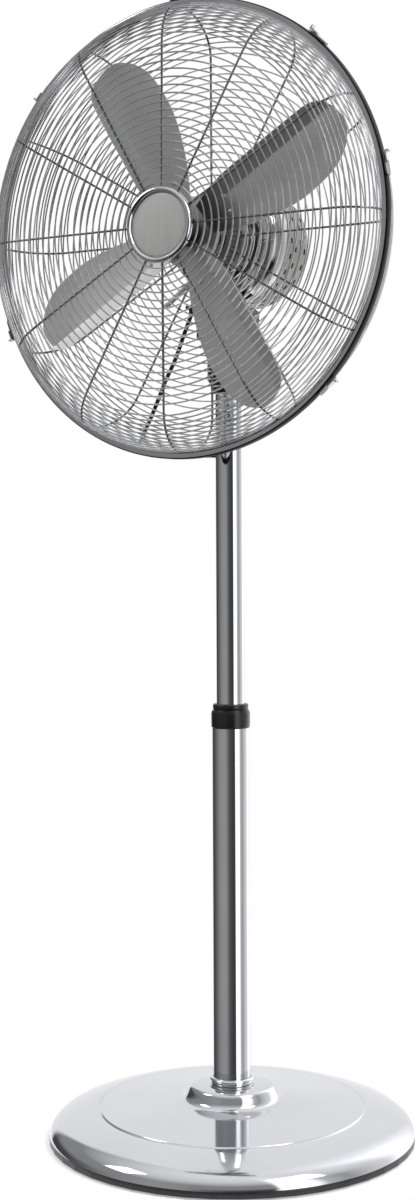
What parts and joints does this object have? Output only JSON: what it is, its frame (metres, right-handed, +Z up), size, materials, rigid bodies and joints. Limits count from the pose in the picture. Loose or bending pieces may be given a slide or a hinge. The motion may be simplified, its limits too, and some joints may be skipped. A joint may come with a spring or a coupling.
{
  "type": "pedestal fan",
  "caption": "Chrome pedestal fan: wire-caged head with pitched satin blades, round motor housing, telescopic pole with black locking collar and a domed round base.",
  "frame": {"origin": "on the pole's axis at the floor, at the underside of the centre foot pad", "axes": "+Z up along the pole; the fan faces and blows toward -Y; +X is to the fan's left as it faces out, the right of someone facing it"},
  "size_m": [0.438, 0.37, 1.1274],
  "materials": {
    "chrome": "polished chrome",
    "guard_wire": "polished chrome-plated wire",
    "blade_silver": "satin",
    "badge_silver": "brushed satin",
    "steel": "plain zinc-plated steel",
    "cast_iron": "painted dark grey",
    "black_plastic": "moulded black plastic",
    "rubber": "matte black",
    "lead_black": "smooth black flex"
  },
  "bodies": {
    "base": {"base_cover": "chrome", "base_edge_ring": "black_plastic", "base_weight": "cast_iron", "foot_pad_centre": "rubber", "foot_pad_1": "rubber", "foot_pad_2": "rubber", "foot_pad_3": "rubber", "foot_pad_4": "rubber", "tube_flange": "steel", "flange_screw_1": "steel", "flange_screw_2": "steel", "flange_screw_3": "steel", "outer_tube": "chrome", "tube_foot_ring": "chrome", "guide_bush": "black_plastic"},
    "collar": {"height_collar": "black_plastic"},
    "mast": {"inner_tube": "chrome", "slide_plug": "black_plastic", "neck_socket": "black_plastic", "control_housing": "black_plastic", "speed_switch": "black_plastic", "swing_drive": "steel", "pole_grommet": "black_plastic", "lead": "lead_black"},
    "speed_knob": {"speed_knob": "badge_silver"},
    "tilt_knob": {"tilt_knob": "black_plastic"},
    "neck": {"swing_fork": "cast_iron", "tilt_bolt": "steel", "lead_gland": "black_plastic"},
    "head": {"motor_foot": "cast_iron", "motor_front_shell": "chrome", "motor_rear_shell": "chrome", "stator": "cast_iron", "rear_guard": "guard_wire", "front_guard": "guard_wire", "guard_nut": "black_plastic", "hoop": "chrome", "badge_ring": "chrome", "badge_plate": "badge_silver", "badge_clamp": "black_plastic", "clip_1": "steel", "clip_2": "steel", "clip_3": "steel", "clip_4": "steel", "clip_5": "steel", "clip_6": "steel"},
    "swing_pull": {"swing_pull": "steel"},
    "rotor": {"rotor": "steel", "blade_hub": "steel", "blade_1": "blade_silver", "blade_2": "blade_silver", "blade_3": "blade_silver", "blade_4": "blade_silver", "blade_nut": "black_plastic"},
    "clip_lever_1": {"clip_lever_1": "steel"},
    "clip_lever_2": {"clip_lever_2": "steel"},
    "clip_lever_3": {"clip_lever_3": "steel"},
    "clip_lever_4": {"clip_lever_4": "steel"},
    "clip_lever_5": {"clip_lever_5": "steel"},
    "clip_lever_6": {"clip_lever_6": "steel"}
  },
  "joints": [
    {"name": "height_slide", "type": "slide", "parent": "base", "child": "mast", "axis": [0, 0, 1], "range_m": [-0.235, 0.12]},
    {"name": "collar_twist", "type": "hinge", "parent": "base", "child": "collar", "pos_m": [0, 0, 0.429], "axis": [0, 0, 1], "range_deg": [0, 90]},
    {"name": "speed_turn", "type": "hinge", "parent": "mast", "child": "speed_knob", "pos_m": [0, 0.03, 0.778], "axis": [0, -1, 0], "range_deg": [0, 135]},
    {"name": "tilt_knob_turn", "type": "hinge", "parent": "neck", "child": "tilt_knob", "pos_m": [0.02, 0, 0.824], "axis": [1, 0, 0], "range_deg": [0, 360]},
    {"name": "oscillate", "type": "hinge", "parent": "mast", "child": "neck", "pos_m": [0, 0, 0.806], "axis": [0, 0, 1], "range_deg": [-40, 40], "deforming": ["lead"]},
    {"name": "tilt", "type": "hinge", "parent": "neck", "child": "head", "pos_m": [0, 0, 0.824], "axis": [-1, 0, 0], "range_deg": [-5, 25]},
    {"name": "swing_pull_out", "type": "slide", "parent": "head", "child": "swing_pull", "axis": [-0.788, 0, -0.6157], "range_m": [0, 0.006]},
    {"name": "fan_spin", "type": "hinge", "parent": "head", "child": "rotor", "pos_m": [0, -0.05, 0.902], "axis": [0, 1, 0], "continuous": true},
    {"name": "clip_1_flip", "type": "hinge", "parent": "head", "child": "clip_lever_1", "pos_m": [-0.0108, -0.088, 1.122], "axis": [0, -1, 0], "range_deg": [0, 100]},
    {"name": "clip_2_flip", "type": "hinge", "parent": "head", "child": "clip_lever_2", "pos_m": [0.13918, -0.088, 1.07272], "axis": [0, -1, 0], "range_deg": [0, 100]},
    {"name": "clip_3_flip", "type": "hinge", "parent": "head", "child": "clip_lever_3", "pos_m": [0.2139, -0.088, 0.95458], "axis": [0, -1, 0], "range_deg": [0, 100]},
    {"name": "clip_4_flip", "type": "hinge", "parent": "head", "child": "clip_lever_4", "pos_m": [0.1632, -0.088, 0.75407], "axis": [0, -1, 0], "range_deg": [0, 100]},
    {"name": "clip_5_flip", "type": "hinge", "parent": "head", "child": "clip_lever_5", "pos_m": [-0.19993, -0.088, 0.80957], "axis": [0, -1, 0], "range_deg": [0, 100]},
    {"name": "clip_6_flip", "type": "hinge", "parent": "head", "child": "clip_lever_6", "pos_m": [-0.16826, -0.088, 1.04414], "axis": [0, -1, 0], "range_deg": [0, 100]}
  ]
}
